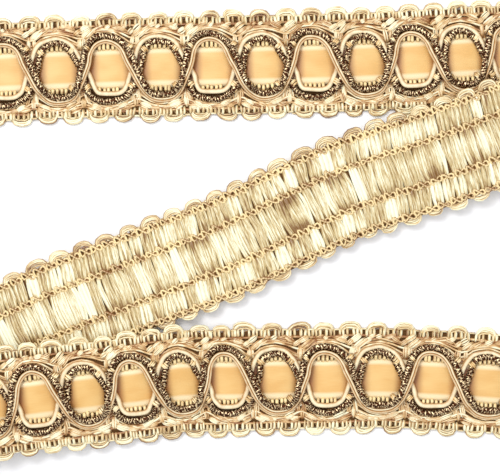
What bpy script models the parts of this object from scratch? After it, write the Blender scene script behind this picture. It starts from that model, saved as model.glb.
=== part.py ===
"""Scalloped gimp braid trim, one cut length laid in a flat Z of three runs.

Each piece is modelled flat, in millimetres, on the unfolded strip: x runs along the strip from the
first window, y across it and z up from the middle of the woven tape. lay() then curves the strip,
folds it twice and settles it on the surface. The braid's figure repeats every two windows, the
openings in which the satin ribbon shows.
"""
import math

import bmesh
import bpy
import numpy as np

MM = 0.001

# The strip, in windows from the first one, with the way it heads and the room a window takes
STRIP_COLUMNS = ("window", "heading_deg", "pitch_mm")
STRIP = (
    (-1.0, 2.5, 12.8),
    (4.0, 0.9, 12.9),
    (10.0, 3.8, 11.9),
    (13.0, -1.1, 12.6),
    (15.0, 3.4, 13.0),
    (17.0, 12.5, 12.2),
    (19.0, 14.0, 11.9),
    (21.0, 3.3, 12.6),
    (23.0, 10.0, 11.9),
    (26.0, 9.9, 12.3),
    (30.0, -2.3, 11.9),
    (33.0, 0.1, 12.3),
    (37.0, -1.9, 11.4),
    (41.0, -9.2, 13.3),
    (44.2, -11.5, 14.1),
)
FIRST_WINDOW = -0.9
LAST_WINDOW = 43.9
LINE_STEP = 0.05
START_X = -61.2
START_Y = 41.4
CENTRE_X = 3.0
CENTRE_Y = 1.4

# The two folds, at a window, with the way the fold faces and its radius; side 1 folds on top
FOLD_FAR_RIGHT = {"window": 12.4, "facing_deg": 15.9, "radius": 4.6, "side": 1}
FOLD_FAR_LEFT = {"window": 30.2, "facing_deg": 12.4, "radius": 3.0, "side": -1}

# How far the runs come down from their folds, and how far the last run tips over the one below
SETTLE = (
    # from window, to window, drop in mm
    (13.6, 18.8, 6.5),
    (31.5, 39.7, 8.7),
)
TILT_COLUMNS = ("window", "rise_per_mm")
TILT = (
    (31.7, 0.0),
    (34.2, 0.17),
    (36.8, 0.15),
    (38.2, 0.05),
    (39.0, 0.012),
    (39.3, 0.003),
    (39.6, 0.0),
)

# The woven tape
TAPE_HALF_THICK = 0.8
TAPE_TOP = 0.1
FLAT_HALF_WIDTH = 11.2
PICOT_APEX = 13.6
PICOT_VALLEY = 11.7
PICOT_HALF_THICK = 0.45
PICOT_PITCH = 0.5
LOWER_PICOT_SHIFT = -1 / 6
RIDGE_HEIGHT = 1.1
RIDGE_FOOT = 9.1
RIDGE_SWAY = 0.5
RIDGE_WIDTH = 0.9
TAPE_STATIONS = 6

# Sections are closer in the folds, and slant along them
FOLD_STATIONS = 12
FOLD_MARGIN = 0.1
FOLD_FADE = 1.4

# The satin ribbon
RIBBON_WIDTH = 9.6
RIBBON_THICK = 0.4
RIBBON_LOW = 0.3
RIBBON_CROWN = 0.2
RIBBON_STATIONS = 4

# The four couched cords: how wide and deep, and how far they rise where they cross the other pair
CORDS = {
    "metallic_cord_under": {"width": 1.5, "depth": 1.0, "rise": 0.0},
    "flat_cord_under": {"width": 1.0, "depth": 0.9, "rise": 0.0},
    "metallic_cord_over": {"width": 1.5, "depth": 1.0, "rise": 1.25},
    "double_cord_over": {"width": 0.9, "depth": 0.8, "rise": 1.15},
}
ARC_HEIGHT = 0.9
RIBBON_RISE = 0.6
RIBBON_RISE_FULL = 5.6
RIBBON_RISE_END = 8.0
CROSS_MIDDLE = -0.5
CROSS_FULL = 3.8
CROSS_END = 6.0

# The cords' figure over one repeat, from the window in the loops of the over cords
FIGURES = {
    # windows along the strip, mm across it
    "metallic_cord_over": (
        (-1.0, -6.7), (-0.76, -6.1), (-0.66, -4.0), (-0.51, 1.0), (-0.48, 3.4), (-0.43, 5.4),
        (-0.21, 8.0), (0.08, 8.1), (0.29, 6.3), (0.49, 1.6), (0.65, -3.2), (0.77, -5.9),
    ),
    "double_cord_over": (
        (-1.0, -8.4), (-0.70, -7.4), (-0.53, -4.1), (-0.41, 0.0), (-0.31, 4.6),
        (-0.05, 6.5), (0.20, 5.2), (0.36, 1.0), (0.53, -3.3), (0.70, -7.1),
    ),
    "flat_cord_under": (
        (-1.0, 7.7), (-0.77, 7.1), (-0.59, 3.8), (-0.43, 0.4), (-0.32, -3.0),
        (-0.16, -6.3), (0.16, -6.6), (0.35, -3.9), (0.54, 3.6), (0.70, 6.8),
    ),
    "metallic_cord_under": (
        (-1.0, 6.0), (-0.80, 5.0), (-0.68, 2.2), (-0.51, -1.8), (-0.40, -6.2), (-0.16, -8.6),
        (0.14, -8.5), (0.39, -6.7), (0.56, -2.5), (0.67, 3.0), (0.80, 5.6),
    ),
}
REPEAT = 2
END_MARGIN = 0.03

# Colour, roughness and metallic value of each piece
FINISHES = {
    "woven_tape": ((0.78, 0.64, 0.42, 1), 0.55, 0.0),
    "satin_ribbon": ((0.90, 0.62, 0.31, 1), 0.35, 0.0),
    "metallic_cord_under": ((0.10, 0.07, 0.04, 1), 0.35, 0.7),
    "flat_cord_under": ((0.84, 0.70, 0.48, 1), 0.40, 0.0),
    "metallic_cord_over": ((0.10, 0.07, 0.04, 1), 0.35, 0.7),
    "double_cord_over": ((0.80, 0.63, 0.38, 1), 0.40, 0.0),
}


def column(table, names, name):
    """One named column of a short table."""
    return np.array([row[names.index(name)] for row in table])


def strip_line():
    """Window, length, pitch, heading, X and Y along the centre line of the unfolded strip."""
    rows = column(STRIP, STRIP_COLUMNS, "window")
    window = np.arange(rows[0], rows[-1] + LINE_STEP / 2, LINE_STEP)
    heading = np.radians(np.interp(window, rows, column(STRIP, STRIP_COLUMNS, "heading_deg")))
    pitch = np.interp(window, rows, column(STRIP, STRIP_COLUMNS, "pitch_mm"))

    def running_sum(rate):
        total = np.concatenate(([0.0], np.cumsum((rate[1:] + rate[:-1]) / 2 * LINE_STEP)))
        return total - np.interp(0.0, window, total)

    length = running_sum(pitch)
    x = START_X + running_sum(pitch * np.cos(heading))
    y = START_Y + running_sum(pitch * np.sin(heading))
    return {"window": window, "length": length, "pitch": pitch, "heading": heading, "x": x, "y": y}


LINE = strip_line()


def on_line(what, window):
    """A value of the centre line, such as its length, at a window or an array of windows."""
    return np.interp(window, LINE["window"], LINE[what])


def smooth_step(value, low, high):
    """0 below low, 1 above high and a smooth rise between them."""
    part = np.clip((value - low) / (high - low), 0.0, 1.0)
    return part * part * (3 - 2 * part)


def fold(x, y, z, crease):
    """Turn what lies past a crease through half a circle, on top of the strip or beneath it."""
    facing = math.radians(crease["facing_deg"])
    radius, side = crease["radius"], crease["side"]
    from_crease_x = x - on_line("x", crease["window"])
    from_crease_y = y - on_line("y", crease["window"])
    past = from_crease_x * math.cos(facing) + from_crease_y * math.sin(facing)
    turn = np.clip(past / radius, 0.0, math.pi)
    reach = radius - side * z
    beyond = np.maximum(past - math.pi * radius, 0.0)
    moved = np.where(past <= 0.0, past, reach * np.sin(turn) - beyond)
    z_folded = side * (radius - reach * np.cos(turn))
    return x + (moved - past) * math.cos(facing), y + (moved - past) * math.sin(facing), z_folded


def lay(flat):
    """Points of the flat strip, an array of rows, moved to where they lie, in metres."""
    along, across, height = flat[:, 0], flat[:, 1], flat[:, 2]
    window = np.interp(along, LINE["length"], LINE["window"])
    heading = on_line("heading", window)
    x = on_line("x", window) - across * np.sin(heading)
    y = on_line("y", window) + across * np.cos(heading)
    x, y, z = fold(x, y, height, FOLD_FAR_LEFT)
    x, y, z = fold(x, y, z, FOLD_FAR_RIGHT)
    tilt_windows = column(TILT, TILT_COLUMNS, "window")
    tilt = np.interp(window, tilt_windows, column(TILT, TILT_COLUMNS, "rise_per_mm"))
    z = z + TAPE_HALF_THICK + across * tilt
    for start, end, drop in SETTLE:
        z = z - drop * smooth_step(window, start, end)
    return np.stack([x - CENTRE_X, y - CENTRE_Y, z], axis=1) * MM


def near_fold(window, crease):
    """1 in a fold and just beside it, falling to 0 farther off."""
    half_turn = math.pi * crease["radius"] / 2 / on_line("pitch", crease["window"])
    away = abs(window - crease["window"] - half_turn) - half_turn - FOLD_MARGIN
    return min(max(1 - away / FOLD_FADE, 0.0), 1.0)


def skew(window):
    """How far a section slants along the strip for each step across it, to lie along a fold."""
    slant = 0.0
    for crease in (FOLD_FAR_RIGHT, FOLD_FAR_LEFT):
        turned = math.radians(crease["facing_deg"]) - on_line("heading", window)
        slant -= near_fold(window, crease) * math.tan(turned)
    return slant


def stations(per_window, offset=0.0):
    """Windows at which a piece has a section: its own, closer ones in the folds, and both ends."""
    first = math.ceil((FIRST_WINDOW - offset) * per_window + 0.2)
    last = math.floor((LAST_WINDOW - offset) * per_window - 0.2)
    chosen = []
    for index in range(first, last + 1):
        window = index / per_window + offset
        chosen.append(window)
        if any(near_fold(window, crease) == 1.0 for crease in (FOLD_FAR_RIGHT, FOLD_FAR_LEFT)):
            extra = math.ceil(FOLD_STATIONS / per_window)
            chosen += [window + step / extra / per_window for step in range(1, extra)]
    return [FIRST_WINDOW] + chosen + [LAST_WINDOW]


def finish(name, mesh):
    """Lay a flat mesh where it belongs and give it its material."""
    flat = np.array([vertex.co[:] for vertex in mesh.vertices])
    mesh.vertices.foreach_set("co", lay(flat).ravel())
    mesh.update()
    colour, roughness, metallic = FINISHES[name]
    material = bpy.data.materials.new(name)
    material.use_nodes = True
    shader = material.node_tree.nodes["Principled BSDF"]
    shader.inputs["Base Color"].default_value = colour
    shader.inputs["Roughness"].default_value = roughness
    shader.inputs["Metallic"].default_value = metallic
    mesh.materials.clear()
    mesh.materials.append(material)
    mesh.shade_smooth()
    mesh.set_sharp_from_angle(angle=math.radians(40))
    part = bpy.data.objects.new(name, mesh)
    braid.objects.link(part)
    return part


def weld(mesh):
    """Join the caps to the tube's rim and point every face outwards."""
    work = bmesh.new()
    work.from_mesh(mesh)
    bmesh.ops.remove_doubles(work, verts=work.verts, dist=0.0001)
    bmesh.ops.recalc_face_normals(work, faces=work.faces)
    work.to_mesh(mesh)
    work.free()


def picot_edge(window, shift):
    """Distance of the scalloped edge from the strip's middle, one round picot after another."""
    offset = (window - shift) / PICOT_PITCH
    from_apex = abs(offset - round(offset)) * 2
    return PICOT_VALLEY + (PICOT_APEX - PICOT_VALLEY) * math.sqrt(1 - min(from_apex, 1.0) ** 2)


def tape_section(window):
    """One closed section of the tape: flat beneath, a soft ridge of floss above each border."""
    upper = picot_edge(window, 0.0)
    lower = picot_edge(window, LOWER_PICOT_SHIFT)
    foot = RIDGE_FOOT + RIDGE_SWAY * math.cos(2 * math.pi * window)
    ridge = foot + RIDGE_WIDTH
    return (
        (-FLAT_HALF_WIDTH, -TAPE_HALF_THICK),
        (FLAT_HALF_WIDTH, -TAPE_HALF_THICK),
        (upper, -PICOT_HALF_THICK),
        (upper, PICOT_HALF_THICK),
        (ridge, RIDGE_HEIGHT),
        (foot, TAPE_TOP),
        (-foot, TAPE_TOP),
        (-ridge, RIDGE_HEIGHT),
        (-lower, PICOT_HALF_THICK),
        (-lower, -PICOT_HALF_THICK),
    )


def woven_tape():
    """The tape is a loft through its sections, closed by its two cut ends."""
    work = bmesh.new()
    rings = []
    for window in stations(TAPE_STATIONS, 0.5 / TAPE_STATIONS):
        along, slant = on_line("length", window), skew(window)
        corners = tape_section(window)
        rings.append([work.verts.new((along + slant * across, across, height)) for across, height in corners])
    count = len(rings[0])
    for ring, following in zip(rings, rings[1:]):
        for corner in range(count):
            after = (corner + 1) % count
            work.faces.new((ring[corner], following[corner], following[after], ring[after]))
    work.faces.new(rings[0])
    work.faces.new(reversed(rings[-1]))
    bmesh.ops.recalc_face_normals(work, faces=work.faces)
    mesh = bpy.data.meshes.new("woven_tape")
    work.to_mesh(mesh)
    work.free()
    return finish("woven_tape", mesh)


def satin_ribbon():
    """The ribbon is an open strip, crowned in each window and drawn down between them."""
    work = bmesh.new()
    edges = []
    for window in stations(RIBBON_STATIONS):
        rise = RIBBON_CROWN * (1 + math.cos(2 * math.pi * window)) / 2
        height = RIBBON_LOW + RIBBON_THICK / 2 + rise
        along, slant = on_line("length", window), skew(window)
        sides = (-RIBBON_WIDTH / 2, RIBBON_WIDTH / 2)
        edges.append([work.verts.new((along + slant * across, across, height)) for across in sides])
    for edge, following in zip(edges, edges[1:]):
        work.faces.new((edge[0], following[0], following[1], edge[1]))
    sheet = bpy.data.meshes.new("ribbon_sheet")
    work.to_mesh(sheet)
    work.free()
    carrier = bpy.data.objects.new("ribbon_sheet", sheet)
    braid.objects.link(carrier)
    solidify = carrier.modifiers.new("thickness", "SOLIDIFY")
    solidify.thickness = RIBBON_THICK
    solidify.offset = 0.0
    evaluated = carrier.evaluated_get(bpy.context.evaluated_depsgraph_get())
    mesh = bpy.data.meshes.new_from_object(evaluated)
    bpy.data.objects.remove(carrier)
    return finish("satin_ribbon", mesh)


def cord_height(rise, across):
    """Height of a cord's middle: low in its arcs, over the ribbon, and over the cords it crosses."""
    over_ribbon = smooth_step(-abs(across), -RIBBON_RISE_END, -RIBBON_RISE_FULL)
    over_cords = smooth_step(-abs(across - CROSS_MIDDLE), -CROSS_END, -CROSS_FULL)
    return ARC_HEIGHT + RIBBON_RISE * over_ribbon + rise * over_cords


def cord_route(name):
    """The cord's points along the whole flat strip, one repeat of its figure after another."""
    windows, offsets, heights = [], [], []
    for repeat in range(math.floor(FIRST_WINDOW / REPEAT), math.ceil(LAST_WINDOW / REPEAT) + 1):
        for along_windows, across in FIGURES[name]:
            windows.append(repeat * REPEAT + along_windows)
            offsets.append(across)
            heights.append(cord_height(CORDS[name]["rise"], across))
    kept = [FIRST_WINDOW]
    for window, following in zip(windows, windows[1:]):
        if FIRST_WINDOW + END_MARGIN < window < LAST_WINDOW - END_MARGIN:
            kept.append(window)
            if any(near_fold(window, crease) == 1.0 for crease in (FOLD_FAR_RIGHT, FOLD_FAR_LEFT)):
                kept.append((window + following) / 2)
    kept.append(LAST_WINDOW)
    across = np.interp(kept, windows, offsets)
    return np.stack([on_line("length", kept), across, np.interp(kept, windows, heights)], axis=1)


def couched_cord(name):
    """A couched cord is a curve with a flattened section, swept along its route."""
    size = CORDS[name]
    profile = bpy.data.curves.new("profile", "CURVE")
    outline = profile.splines.new("POLY")
    corners = ((0.5, 0.0), (0.0, 0.5), (-0.5, 0.0), (0.0, -0.5))
    outline.points.add(len(corners) - 1)
    for point, (side, rise) in zip(outline.points, corners):
        point.co = (side * size["width"], rise * size["depth"], 0.0, 1.0)
    outline.use_cyclic_u = True
    section = bpy.data.objects.new("profile", profile)
    braid.objects.link(section)

    points = cord_route(name)
    path = bpy.data.curves.new("path", "CURVE")
    path.dimensions = "3D"
    path.twist_mode = "Z_UP"
    path.bevel_mode = "OBJECT"
    path.bevel_object = section
    path.use_fill_caps = True
    spline = path.splines.new("POLY")
    spline.points.add(len(points) - 1)
    for point, place in zip(spline.points, points):
        point.co = (*place, 1.0)
    carrier = bpy.data.objects.new("path", path)
    braid.objects.link(carrier)
    evaluated = carrier.evaluated_get(bpy.context.evaluated_depsgraph_get())
    mesh = bpy.data.meshes.new_from_object(evaluated)
    weld(mesh)
    bpy.data.objects.remove(carrier)
    bpy.data.objects.remove(section)
    return finish(name, mesh)


for existing in list(bpy.data.objects):
    bpy.data.objects.remove(existing)
braid = bpy.data.collections.new("gimp_braid_trim")
bpy.context.scene.collection.children.link(braid)

woven_tape()
satin_ribbon()
for cord_name in CORDS:
    couched_cord(cord_name)
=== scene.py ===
"""The finish of the scalloped gimp braid trim, one cut length that lies in a flat Z of three runs.

Each thread is laid out on the unfolded strip, in millimetres: along it from the middle of window 0,
across it, and up from the middle of the braid, so that its back has heights below 0. lay() then moves
the points to where they lie. A window is an opening between the cords in which the satin ribbon
shows, and the braid's figure repeats every two windows.
"""

import math

import bpy
import numpy as np
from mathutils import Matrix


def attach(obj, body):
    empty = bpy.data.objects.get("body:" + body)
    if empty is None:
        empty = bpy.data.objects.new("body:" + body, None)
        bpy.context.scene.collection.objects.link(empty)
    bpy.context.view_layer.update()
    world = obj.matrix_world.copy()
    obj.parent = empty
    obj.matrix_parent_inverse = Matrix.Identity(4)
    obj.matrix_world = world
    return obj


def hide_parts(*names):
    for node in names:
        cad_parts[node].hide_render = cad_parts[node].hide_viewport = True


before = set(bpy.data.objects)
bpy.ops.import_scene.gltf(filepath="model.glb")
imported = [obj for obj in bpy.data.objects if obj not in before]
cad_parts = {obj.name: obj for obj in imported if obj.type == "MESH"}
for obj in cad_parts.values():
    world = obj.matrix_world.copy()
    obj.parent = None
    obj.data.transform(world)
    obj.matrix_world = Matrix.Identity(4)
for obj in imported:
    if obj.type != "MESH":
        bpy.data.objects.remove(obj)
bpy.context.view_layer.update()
chance = np.random.default_rng(41)


# Ground: a narrow woven strip of brown cotton that carries every thread and cord of the braid. It
# lies face up, folds over at the far right to lie back up, and folds over again at the far left.
MM = 0.001
STRIP_COLUMNS = ("window", "heading_deg", "pitch_mm")
STRIP = (
    (-1.6, 2.5, 12.8),
    (-1.0, 2.5, 12.8),
    (4.0, 0.9, 12.9),
    (10.0, 3.8, 11.9),
    (13.0, -1.1, 12.6),
    (15.0, 3.4, 13.0),
    (17.0, 12.5, 12.2),
    (19.0, 14.0, 11.9),
    (21.0, 3.3, 12.6),
    (23.0, 10.0, 11.9),
    (26.0, 9.9, 12.3),
    (30.0, -2.3, 11.9),
    (33.0, 0.1, 12.3),
    (37.0, -1.9, 11.4),
    (41.0, -9.2, 13.3),
    (44.2, -11.5, 14.1),
    (44.8, -11.5, 14.1),
)
FIRST_WINDOW = -0.9
LAST_WINDOW = 43.9
LINE_STEP = 0.05
# The middle of window 0 and of the solids' box, in mm from the middle of the photo
START_X = -61.2
START_Y = 41.4
CENTRE_X = 3.0
CENTRE_Y = 1.4
# Side 1 folds the strip towards its face, and side -1 towards its back
FOLD_FAR_RIGHT = {"window": 12.4, "facing_deg": 15.9, "radius": 4.6, "side": 1}
FOLD_FAR_LEFT = {"window": 30.2, "facing_deg": 12.4, "radius": 3.0, "side": -1}
SETTLE = (
    # from window, to window, and how far the strip sinks between them in mm
    (13.6, 18.8, 6.5),
    (31.5, 39.7, 8.7),
)
TILT_COLUMNS = ("window", "rise_per_mm")
TILT = (
    (31.7, 0.0),
    (34.2, 0.17),
    (36.8, 0.15),
    (38.2, 0.05),
    (39.0, 0.012),
    (39.3, 0.003),
    (39.6, 0.0),
)
SWAY_COLUMNS = ("window", "across_mm", "along_mm")
SWAY = (
    (0.0, 0.0, 0.0),
    (3.0, 0.2, 0.25),
    (5.0, 0.2, 0.25),
    (6.5, 0.0, 0.5),
    (9.0, 0.0, 0.6),
    (15.0, 0.0, 0.0),
    (18.0, -0.5, 0.0),
    (20.3, -0.48, 0.0),
    (21.4, -0.14, 0.0),
    (23.0, -0.22, 0.0),
    (26.0, 0.2, 0.0),
    (30.0, 0.0, 0.0),
    (34.5, 0.05, 0.0),
    (36.0, 0.0, 0.2),
    (37.0, 0.45, 0.4),
    (38.2, -0.4, 0.3),
    (40.0, -0.55, 0.6),
    (41.0, 0.15, 0.6),
    (44.0, 0.1, 0.6),
)
HALF_THICK = 0.8
FOLD_MARGIN = 0.1
FOLD_FADE = 1.4
GROUND_HALF_WIDTH = 12.1
GROUND_TOP = 0.0
GROUND_THICK = 0.2
GROUND_COLUMNS = 9
CLOTH_ROWS = 12
WARP_SCALE = 9.0
WEFT_SCALE = 0.8
PLAIN_TONE = 0.5


def column(table, names, name):
    """One named column of a short table."""
    return np.array([row[names.index(name)] for row in table])


def strip_line():
    """Window, length, heading, X and Y along the centre line of the unfolded strip."""
    rows = column(STRIP, STRIP_COLUMNS, "window")
    window = np.arange(rows[0], rows[-1] + LINE_STEP / 2, LINE_STEP)
    heading = np.radians(np.interp(window, rows, column(STRIP, STRIP_COLUMNS, "heading_deg")))
    pitch = np.interp(window, rows, column(STRIP, STRIP_COLUMNS, "pitch_mm"))

    def running_sum(rate):
        total = np.concatenate(([0.0], np.cumsum((rate[1:] + rate[:-1]) / 2 * LINE_STEP)))
        return total - np.interp(0.0, window, total)

    return {
        "window": window,
        "length": running_sum(pitch),
        "pitch": pitch,
        "heading": heading,
        "x": START_X + running_sum(pitch * np.cos(heading)),
        "y": START_Y + running_sum(pitch * np.sin(heading)),
    }


LINE = strip_line()


def on_line(what, window):
    """A value of the centre line, such as its length, at a window or an array of windows."""
    return np.interp(window, LINE["window"], LINE[what])


def rows_along(per_window):
    """Evenly spaced windows from one cut end of the strip to the other."""
    return np.linspace(FIRST_WINDOW, LAST_WINDOW, round((LAST_WINDOW - FIRST_WINDOW) * per_window) + 1)


def smooth_step(value, low, high):
    """0 below low, 1 above high and a smooth rise between them."""
    part = np.clip((value - low) / (high - low), 0.0, 1.0)
    return part * part * (3 - 2 * part)


def fold(x, y, z, crease):
    """Turn what lies past a crease through half a circle, on top of the strip or beneath it."""
    facing = math.radians(crease["facing_deg"])
    facing_x, facing_y = math.cos(facing), math.sin(facing)
    radius, side = crease["radius"], crease["side"]
    from_crease_x = x - on_line("x", crease["window"])
    from_crease_y = y - on_line("y", crease["window"])
    past = from_crease_x * facing_x + from_crease_y * facing_y
    turn = np.clip(past / radius, 0.0, math.pi)
    reach = radius - side * z
    beyond = np.maximum(past - math.pi * radius, 0.0)
    moved = np.where(past <= 0.0, past, reach * np.sin(turn) - beyond)
    z_folded = side * (radius - reach * np.cos(turn))
    return x + (moved - past) * facing_x, y + (moved - past) * facing_y, z_folded


def lay(flat):
    """Points of the flat strip, an array of rows, moved to where they lie, in metres."""
    along, across, height = flat[:, 0], flat[:, 1], flat[:, 2]
    window = np.interp(along, LINE["length"], LINE["window"])
    sway_windows = column(SWAY, SWAY_COLUMNS, "window")
    across = across + np.interp(window, sway_windows, column(SWAY, SWAY_COLUMNS, "across_mm"))
    forward = np.interp(window, sway_windows, column(SWAY, SWAY_COLUMNS, "along_mm"))
    window = np.interp(along + forward, LINE["length"], LINE["window"])
    heading = on_line("heading", window)
    x = on_line("x", window) - across * np.sin(heading)
    y = on_line("y", window) + across * np.cos(heading)
    x, y, z = fold(x, y, height, FOLD_FAR_LEFT)
    x, y, z = fold(x, y, z, FOLD_FAR_RIGHT)
    tilt_windows = column(TILT, TILT_COLUMNS, "window")
    tilt = np.interp(window, tilt_windows, column(TILT, TILT_COLUMNS, "rise_per_mm"))
    z = z + HALF_THICK + across * tilt
    for start, end, drop in SETTLE:
        z = z - drop * smooth_step(window, start, end)
    return np.stack([x - CENTRE_X, y - CENTRE_Y, np.maximum(z, 0.0)], axis=1) * MM


def skew(window):
    """How far a row of cloth slants along the strip for each step across it, to lie along a fold."""
    slant = 0.0
    for crease in (FOLD_FAR_RIGHT, FOLD_FAR_LEFT):
        half_turn = math.pi * crease["radius"] / 2 / on_line("pitch", crease["window"])
        away = np.abs(window - crease["window"] - half_turn) - half_turn - FOLD_MARGIN
        near = np.clip(1 - away / FOLD_FADE, 0.0, 1.0)
        slant = slant - near * np.tan(math.radians(crease["facing_deg"]) - on_line("heading", window))
    return slant


class Gather:
    """The threads or sheets of one piece, laid out flat, with a tone for each point."""

    def __init__(self):
        self.points, self.faces, self.uvs, self.tones = [], [], [], []
        self.total = 0

    def add(self, points, faces, uvs, tone):
        """More points, blocks of faces with as many blocks of corner UVs, and the points' tone."""
        points = points.reshape(-1, 3)
        self.points.append(points)
        self.tones.append(np.broadcast_to(tone, len(points)))
        for block, corners in zip(faces, uvs):
            self.faces += (block + self.total).tolist()
            self.uvs.append(corners.reshape(-1, 2))
        self.total += len(points)

    def lay_out(self, name, material):
        """The finished piece: one smooth mesh object with its place in its mesh."""
        mesh = bpy.data.meshes.new(name)
        mesh.from_pydata(lay(np.concatenate(self.points)), [], self.faces)
        mesh.uv_layers.new(name="thread").data.foreach_set("uv", np.concatenate(self.uvs).ravel())
        tone = mesh.attributes.new("tone", "FLOAT", "POINT")
        tone.data.foreach_set("value", np.concatenate(self.tones).astype(np.float32))
        mesh.materials.append(material)
        mesh.shade_smooth()
        made = bpy.data.objects.new(name, mesh)
        bpy.context.scene.collection.objects.link(made)
        return made


def cloth(rows, across, height, thick):
    """A thin closed sheet: points, faces and UVs, which are its window and its place across."""
    along = on_line("length", rows)[:, None] + skew(rows)[:, None] * across[None, :]
    sides, middle = np.broadcast_to(across, along.shape), np.broadcast_to(height, along.shape)
    layers = [np.stack([along, sides, middle + part * thick / 2], axis=2) for part in (1, -1)]
    count, wide = along.shape
    top = np.arange(count * wide).reshape(count, wide)
    under = top + count * wide

    def quads(a, b, c, d):
        return np.stack([a, b, c, d], axis=-1).reshape(-1, 4)

    faces = np.concatenate([
        quads(top[:-1, :-1], top[1:, :-1], top[1:, 1:], top[:-1, 1:]),
        quads(under[:-1, :-1], under[:-1, 1:], under[1:, 1:], under[1:, :-1]),
        quads(top[:-1, 0], under[:-1, 0], under[1:, 0], top[1:, 0]),
        quads(top[:-1, -1], top[1:, -1], under[1:, -1], under[:-1, -1]),
        quads(top[0, :-1], top[0, 1:], under[0, 1:], under[0, :-1]),
        quads(top[-1, :-1], under[-1, :-1], under[-1, 1:], top[-1, 1:]),
    ])
    windows = np.broadcast_to(rows[:, None], along.shape)
    places = np.tile(np.stack([windows, sides], axis=2).reshape(-1, 2), (2, 1))
    return np.concatenate([layer.reshape(-1, 3) for layer in layers]), [faces], [places[faces]]


class Wire:
    """A value in a material: arithmetic on it adds Math nodes, and node() adds any other node."""

    def __init__(self, tree, socket=None):
        self.tree, self.socket = tree, socket

    def node(self, kind, settings, sockets, output=0):
        """One output of a new node, whose sockets are given values or other wires."""
        made = self.tree.nodes.new("ShaderNode" + kind)
        for name, value in settings.items():
            setattr(made, name, value)
        for name, value in sockets.items():
            if isinstance(value, Wire):
                self.tree.links.new(value.socket, made.inputs[name])
            else:
                made.inputs[name].default_value = value
        return Wire(self.tree, made.outputs[output])

    def maths(self, operation, *others):
        """A Math node on this value and then the others."""
        return self.node("Math", {"operation": operation}, dict(enumerate((self, *others))))

    def __add__(self, other):
        return self.maths("ADD", other)

    def __sub__(self, other):
        return self.maths("SUBTRACT", other)

    def __rsub__(self, other):
        return self.node("Math", {"operation": "SUBTRACT"}, {0: other, 1: self})

    def __mul__(self, other):
        return self.maths("MULTIPLY", other)

    __radd__ = __add__
    __rmul__ = __mul__

    def axis(self, number):
        """The X, Y or Z of a vector, for 0, 1 or 2."""
        return self.node("SeparateXYZ", {}, {"Vector": self}, number)

    def noise(self, scale, detail, roughness=0.5):
        """Cloudy noise from 0 to 1, with this vector as its place."""
        sockets = {"Vector": self, "Scale": scale, "Detail": detail, "Roughness": roughness}
        return self.node("TexNoise", {}, sockets)

    def stretch(self, along, across):
        """This place, stretched along the thread or strip and across it."""
        return self.node("Mapping", {}, {"Vector": self, "Scale": (along, across, 1.0)})

    def between(self, low, high):
        """0 below low, 1 above high and a smooth rise between them."""
        sockets = {"Value": self, "From Min": low, "From Max": high}
        return self.node("MapRange", {"interpolation_type": "SMOOTHSTEP"}, sockets)

    def blend(self, first, second):
        """The first colour where this value is 0, and the second where it is 1."""
        return self.node("Mix", {"data_type": "RGBA"}, {0: self, 6: first, 7: second}, 2)

    def feed(self, shader, socket):
        """Link this value or colour to a socket of the shader."""
        self.tree.links.new(self.socket, shader.inputs[socket])

    def emboss(self, shader, strength, depth):
        """Raise the surface where this value is high, by a depth in metres."""
        bump = self.node("Bump", {}, {"Height": self, "Strength": strength, "Distance": depth})
        bump.feed(shader, "Normal")


def dye(red, green, blue):
    """A colour from its everyday values of 0 to 255."""
    parts = [value / 255 for value in (red, green, blue)]
    linear = [((part + 0.055) / 1.055) ** 2.4 if part > 0.04045 else part / 12.92 for part in parts]
    return (*linear, 1.0)


def new_finish(name, constants):
    """A material and its shader, and the places on a thread or a sheet that its nodes start from."""
    material = bpy.data.materials.new(name)
    material.use_nodes = True
    shader = material.node_tree.nodes["Principled BSDF"]
    for socket, value in constants.items():
        shader.inputs[socket].default_value = value
    place = Wire(material.node_tree).node("UVMap", {"uv_map": "thread"}, {})
    return material, shader, place


# Painted shade: the cloth's dark brown is partly its own colour and partly stands in for the shade in the
# gaps and holes between the threads above it.
cotton, shader, place = new_finish("brown_cotton_gap_shade", {"Roughness": 0.8, "Specular IOR Level": 0.25})
warp, weft = (
    place.node("TexWave", {"bands_direction": direction},
               {"Vector": place, "Scale": scale, "Distortion": 0.6}, 1)
    for direction, scale in (("X", WARP_SCALE), ("Y", WEFT_SCALE))
)
weave = warp * 0.5 + weft * 0.5
weave.blend(dye(66, 41, 14), dye(116, 78, 36)).feed(shader, "Base Color")
weave.emboss(shader, 0.6, 0.0001)

strip_rows = rows_along(CLOTH_ROWS)
ground_sides = np.linspace(-GROUND_HALF_WIDTH, GROUND_HALF_WIDTH, GROUND_COLUMNS)
gathered = Gather()
gathered.add(*cloth(strip_rows, ground_sides, GROUND_TOP - GROUND_THICK / 2, GROUND_THICK), PLAIN_TONE)
ground = gathered.lay_out("ground_cloth", cotton)
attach(ground, "root")
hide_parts("woven_tape")


# Floats on the back: flat bundles of shiny rayon floss that lie across the braid between the rows
# of chain stitch. In the middle column each window has one wide bundle and two narrow ones.
FLOAT_ROOT = -0.3
FLOAT_LIFT = 0.25
FLOAT_STATIONS = 8
FLOAT_SIDES = 6
FLOAT_DEPTH = 0.45
INNER_CHAIN = 5.1
OUTER_CHAIN = 11.35
MIDDLE_BUNDLES = (
    # windows from a window's centre; half width, strands, painted shade at the ends, uneven tone
    (0.0, (3.8, 11, 2.2, 0.07)),
    (0.405, (1.15, 3, 0.1, 0.3)),
    (0.595, (1.15, 3, 0.1, 0.3)),
)
MIDDLE_TONE = 0.2
SIDE_BUNDLE = (1.42, 3, 1.4, 0.24)
SIDE_TONE = 0.32
SIDE_BUNDLES_PER_WINDOW = 4
SIDE_SHIFTS = {-1: 0.085, 1: 0.02}
SIDE_LEAN = 0.12
# A strand's width at its ends as a share of its middle, and in the middle as a share of its room
FLOAT_WAIST = 0.76
STRAND_OVERLAP = 1.5
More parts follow.
